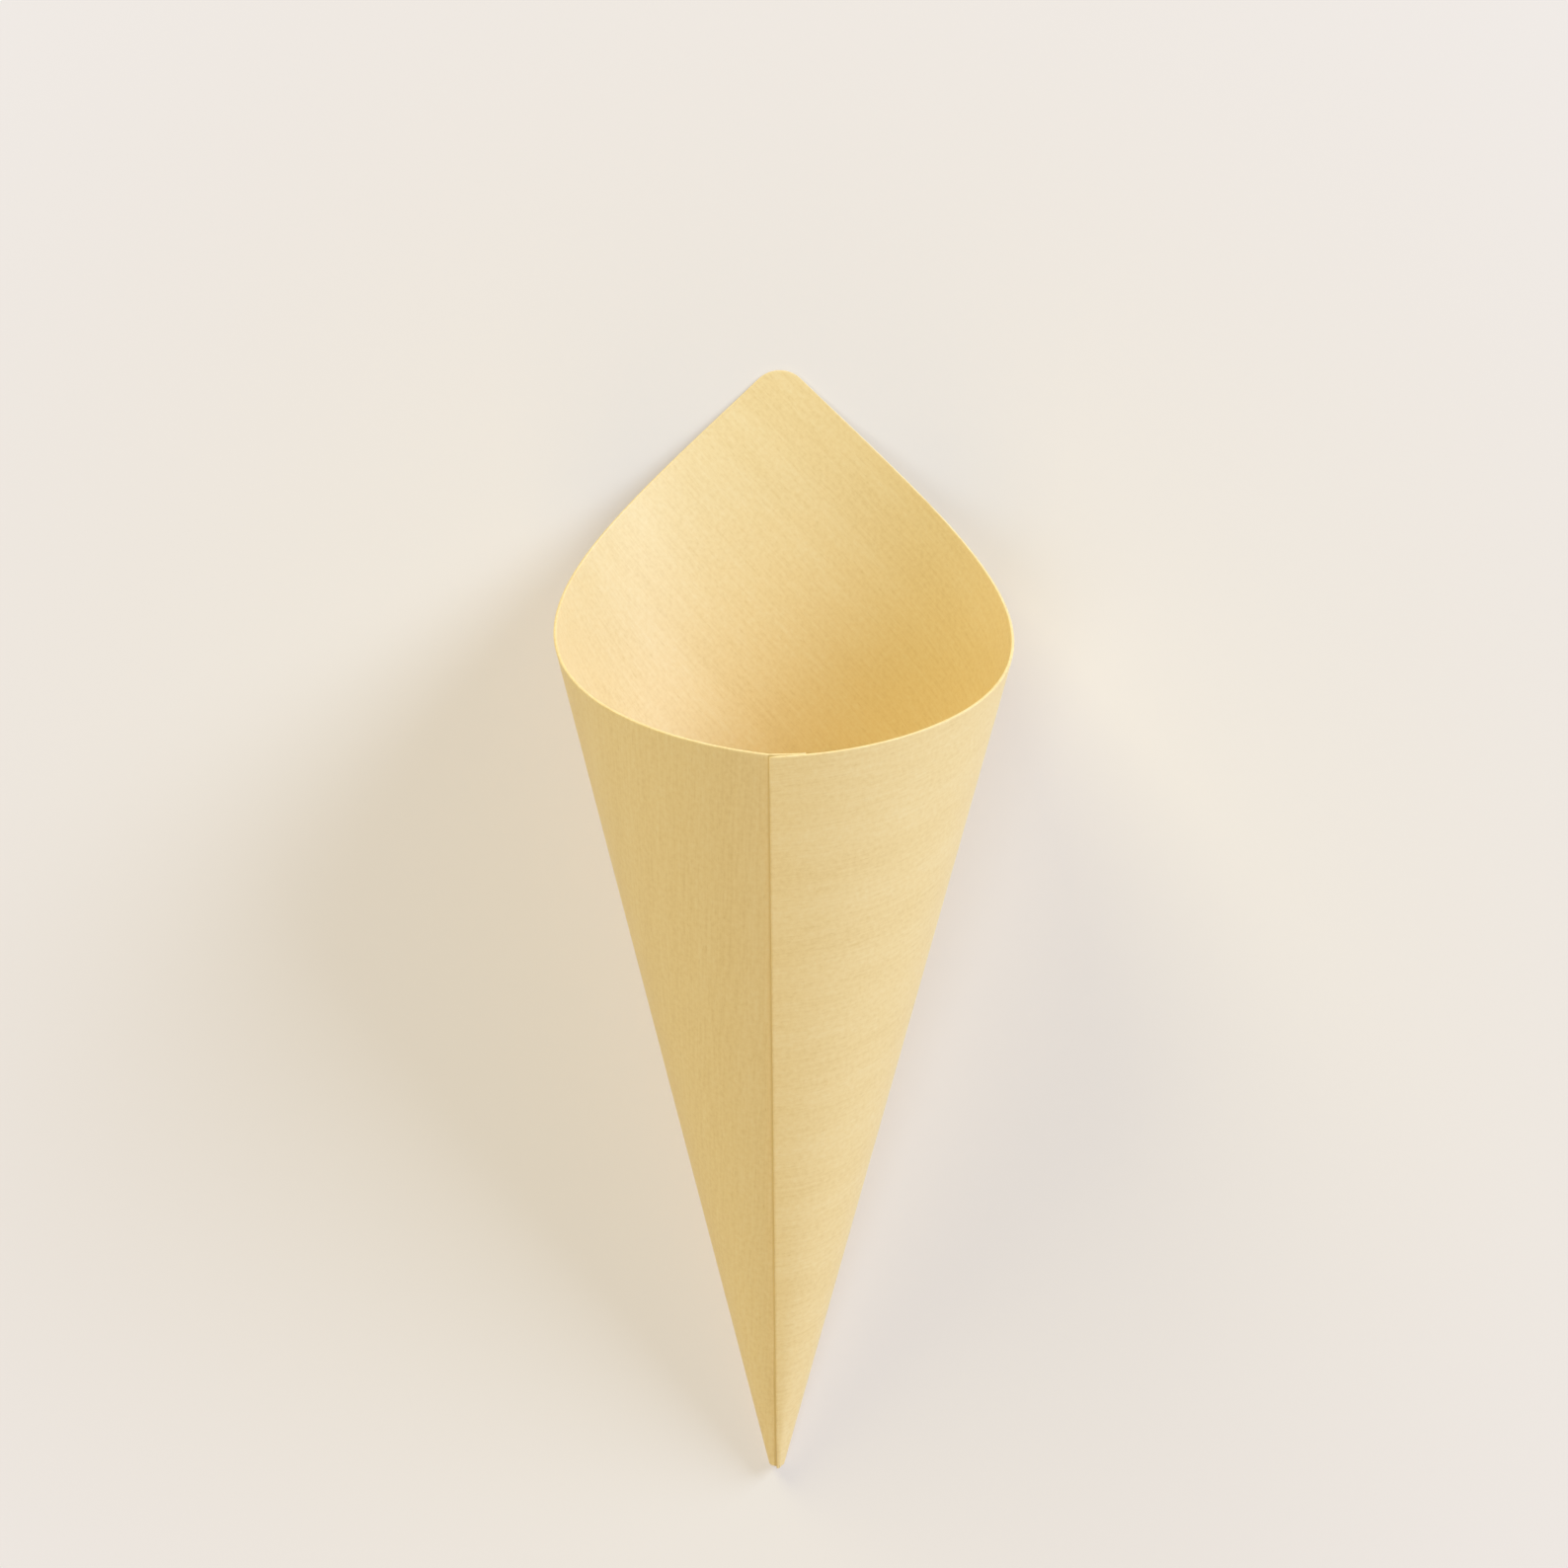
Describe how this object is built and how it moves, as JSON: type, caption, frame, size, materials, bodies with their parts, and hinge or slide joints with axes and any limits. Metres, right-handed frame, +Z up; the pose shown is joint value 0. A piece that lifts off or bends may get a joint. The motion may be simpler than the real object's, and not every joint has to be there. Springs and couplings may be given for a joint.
{
  "type": "wooden food cone",
  "caption": "Cone rolled from thin wood veneer and glued along an overlapped seam, with a raised pointed rim at the back, for serving finger food.",
  "frame": {"origin": "on the floor, under the middle of the box round the lying cone", "axes": "+Z up; +Y along the floor from the tip to the peak of the rim; the seam is on top, towards +Z"},
  "size_m": [0.0724, 0.1818, 0.0614],
  "materials": {
    "veneer": "sliced veneer, unvarnished, satin"
  },
  "bodies": {
    "root": {"veneer_cone": "veneer"}
  },
  "joints": []
}
